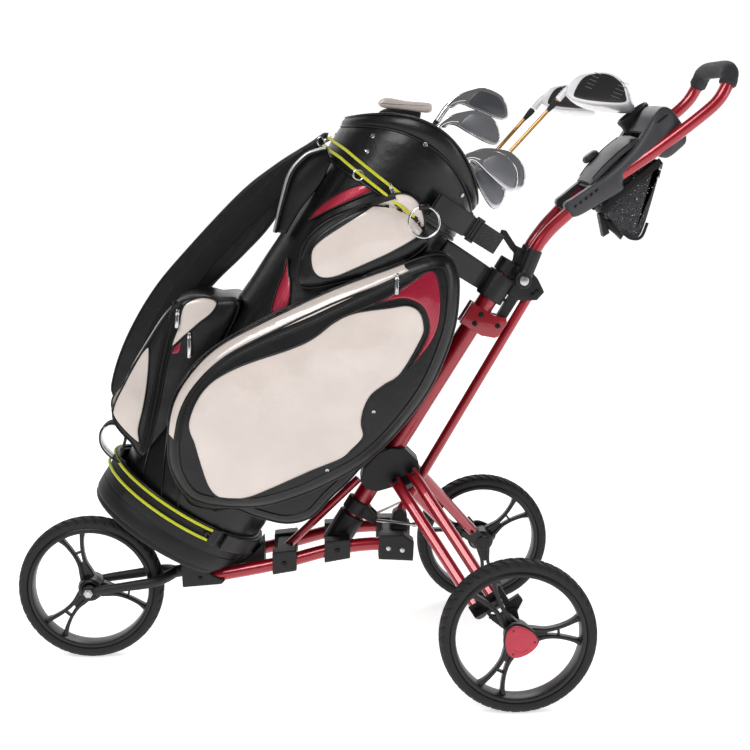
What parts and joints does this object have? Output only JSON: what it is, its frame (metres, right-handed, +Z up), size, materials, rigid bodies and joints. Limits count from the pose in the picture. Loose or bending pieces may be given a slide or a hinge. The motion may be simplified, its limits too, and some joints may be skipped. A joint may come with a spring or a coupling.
{
  "type": "golf bag on push cart",
  "caption": "Three-wheel folding push cart with a strapped-on oval golf bag, pockets, clubs, tilting handle and console.",
  "frame": {"origin": "on the ground below the middle of the whole object's box", "axes": "+X runs back from the front wheel to the handle, +Y is the cart's right side, +Z is up"},
  "size_m": [1.4252, 0.6978, 1.2135],
  "materials": {
    "tyre": "satin black moulded rubber with a chevron tread",
    "rim": "satin black moulded nylon",
    "hub_cap": "satin crimson moulded plastic",
    "frame_red": "glossy crimson metallic paint",
    "moulding": "satin black glass-filled nylon",
    "steel": "zinc-plated steel",
    "console": "fine-grained charcoal plastic",
    "grip_foam": "soft black foam rubber",
    "mesh": "black nylon mesh and webbing",
    "webbing": "woven black webbing",
    "black_leather": "black grained synthetic leather",
    "boot": "black moulded rubber-like base",
    "cream_leather": "glossy pale patent leather with red and black panels",
    "divider": "fleece-covered bars",
    "bungee": "braided bright yellow elastic cord",
    "club_steel": "chrome-plated steel heads and bronze-coloured shafts",
    "wood_head": "black and white lacquer on composite"
  },
  "bodies": {
    "root": {"front_fork": "moulding", "front_axle": "steel", "left_rail": "frame_red", "right_rail": "frame_red", "front_bracket": "moulding", "mid_clamp": "moulding", "column_knuckle": "moulding", "rail_end_bracket": "moulding", "stretcher_collar": "moulding", "column_tube": "frame_red", "leg_hub": "moulding", "diagonal_strut": "frame_red", "brace_rod": "frame_red", "upper_cradle": "moulding", "handle_clamp": "moulding", "left_strap": "webbing", "right_strap": "webbing", "bag_base": "boot", "bag_body": "black_leather", "bag_cuff": "black_leather", "club_divider": "divider", "left_pocket": "cream_leather", "right_pocket": "cream_leather", "ball_pocket": "cream_leather", "shoulder_strap": "mesh", "grab_handle": "black_leather", "upper_bungee": "bungee", "lower_bungee": "bungee"},
    "front_wheel": {"front_tyre": "tyre", "front_rim": "rim"},
    "left_lower_leg": {"left_lower_leg": "frame_red"},
    "left_upper_leg": {"left_upper_leg": "frame_red"},
    "left_bracket": {"left_wheel_bracket": "moulding"},
    "left_stretcher": {"left_stretcher": "steel"},
    "left_wheel": {"left_rear_tyre": "tyre", "left_rear_rim": "rim", "left_rear_hub_cap": "hub_cap"},
    "right_lower_leg": {"right_lower_leg": "frame_red"},
    "right_upper_leg": {"right_upper_leg": "frame_red"},
    "right_bracket": {"right_wheel_bracket": "moulding"},
    "right_stretcher": {"right_stretcher": "steel"},
    "right_wheel": {"right_rear_tyre": "tyre", "right_rear_rim": "rim", "right_rear_hub_cap": "hub_cap"},
    "brake": {"brake_pedal": "moulding"},
    "handle": {"handle_tube": "frame_red", "handle_grip": "grip_foam", "handle_yoke": "moulding", "console_tray": "console", "mesh_pouch": "mesh"},
    "console_lid": {"console_lid": "console"},
    "clamp_lever": {"clamp_lever": "moulding"},
    "towel_ring": {"towel_ring": "steel"},
    "iron_1": {"iron_1": "club_steel"},
    "iron_2": {"iron_2": "club_steel"},
    "iron_3": {"iron_3": "club_steel"},
    "iron_4": {"iron_4": "club_steel"},
    "iron_5": {"iron_5": "club_steel"},
    "driver": {"driver": "wood_head"},
    "fairway_wood": {"fairway_wood": "wood_head"}
  },
  "joints": [
    {"name": "front_wheel_spin", "type": "hinge", "parent": "root", "child": "front_wheel", "pos_m": [-0.56364, 0, 0.149], "axis": [0, 1, 0], "continuous": true},
    {"name": "left_leg_fold", "type": "hinge", "parent": "root", "child": "left_lower_leg", "pos_m": [0.06606, -0.05, 0.375], "axis": [-0.3135, -0.7892, 0.528], "range_deg": [0, 45]},
    {"name": "left_upper_leg_fold", "type": "hinge", "parent": "root", "child": "left_upper_leg", "pos_m": [0.09806, -0.05, 0.394], "axis": [-0.3135, -0.7892, 0.528], "range_deg": [0, 45]},
    {"name": "left_bracket_turn", "type": "hinge", "parent": "left_lower_leg", "child": "left_bracket", "pos_m": [0.21506, -0.245, 0.172], "axis": [-0.3135, -0.7892, 0.528], "range_deg": [-45, 0]},
    {"name": "left_stretcher_swing", "type": "hinge", "parent": "root", "child": "left_stretcher", "pos_m": [0.02606, -0.027, 0.292], "axis": [-0.5899, -0.4996, 0.6343], "range_deg": [0, 27.8]},
    {"name": "left_wheel_spin", "type": "hinge", "parent": "left_bracket", "child": "left_wheel", "pos_m": [0.27976, -0.3105, 0.149], "axis": [0, 1, 0], "continuous": true},
    {"name": "right_leg_fold", "type": "hinge", "parent": "root", "child": "right_lower_leg", "pos_m": [0.06606, 0.05, 0.375], "axis": [0.3135, -0.7892, -0.528], "range_deg": [0, 45]},
    {"name": "right_upper_leg_fold", "type": "hinge", "parent": "root", "child": "right_upper_leg", "pos_m": [0.09806, 0.05, 0.394], "axis": [0.3135, -0.7892, -0.528], "range_deg": [0, 45]},
    {"name": "right_bracket_turn", "type": "hinge", "parent": "right_lower_leg", "child": "right_bracket", "pos_m": [0.21506, 0.245, 0.172], "axis": [0.3135, -0.7892, -0.528], "range_deg": [-45, 0]},
    {"name": "right_stretcher_swing", "type": "hinge", "parent": "root", "child": "right_stretcher", "pos_m": [0.02606, 0.027, 0.292], "axis": [0.5899, -0.4996, -0.6343], "range_deg": [0, 27.8]},
    {"name": "right_wheel_spin", "type": "hinge", "parent": "right_bracket", "child": "right_wheel", "pos_m": [0.27976, 0.3105, 0.149], "axis": [0, 1, 0], "continuous": true},
    {"name": "brake_press", "type": "hinge", "parent": "left_bracket", "child": "brake", "pos_m": [0.27406, -0.2655, 0.184], "axis": [0, 1, 0], "range_deg": [0, 25]},
    {"name": "handle_tilt", "type": "hinge", "parent": "root", "child": "handle", "pos_m": [0.31506, 0, 0.787], "axis": [0, 1, 0], "range_deg": [0, 85]},
    {"name": "lid_open", "type": "hinge", "parent": "handle", "child": "console_lid", "pos_m": [0.53482, 0, 1.06521], "axis": [0, 1, 0], "range_deg": [0, 25]},
    {"name": "lever_release", "type": "hinge", "parent": "root", "child": "clamp_lever", "pos_m": [0.31306, 0, 0.838], "axis": [0, -1, 0], "range_deg": [0, 40]},
    {"name": "towel_ring_swing", "type": "hinge", "parent": "root", "child": "towel_ring", "pos_m": [0.10858, -0.174, 0.94067], "axis": [-1, 0, 0], "range_deg": [0, 60]},
    {"name": "iron_1_draw", "type": "slide", "parent": "root", "child": "iron_1", "axis": [0.5684, -0.0185, 0.8225], "range_m": [0, 0.95]},
    {"name": "iron_2_draw", "type": "slide", "parent": "root", "child": "iron_2", "axis": [0.6008, -0.0043, 0.7994], "range_m": [0, 0.95]},
    {"name": "iron_3_draw", "type": "slide", "parent": "root", "child": "iron_3", "axis": [0.539, -0.009, 0.8423], "range_m": [0, 0.95]},
    {"name": "iron_4_draw", "type": "slide", "parent": "root", "child": "iron_4", "axis": [0.551, -0.0055, 0.8345], "range_m": [0, 0.95]},
    {"name": "iron_5_draw", "type": "slide", "parent": "root", "child": "iron_5", "axis": [0.5858, -0.0055, 0.8104], "range_m": [0, 0.95]},
    {"name": "driver_draw", "type": "slide", "parent": "root", "child": "driver", "axis": [0.6767, 0.0106, 0.7362], "range_m": [0, 1]},
    {"name": "fairway_wood_draw", "type": "slide", "parent": "root", "child": "fairway_wood", "axis": [0.6671, 0.0742, 0.7413], "range_m": [0, 1]}
  ],
  "couplings": [
    {"joint": "left_upper_leg_fold", "follows": "left_leg_fold", "ratio": 1},
    {"joint": "left_bracket_turn", "follows": "left_leg_fold", "ratio": -1},
    {"joint": "left_stretcher_swing", "follows": "left_leg_fold", "ratio": 0.6062},
    {"joint": "right_leg_fold", "follows": "left_leg_fold", "ratio": 1},
    {"joint": "right_upper_leg_fold", "follows": "left_leg_fold", "ratio": 1},
    {"joint": "right_bracket_turn", "follows": "left_leg_fold", "ratio": -1},
    {"joint": "right_stretcher_swing", "follows": "left_leg_fold", "ratio": 0.6062}
  ]
}
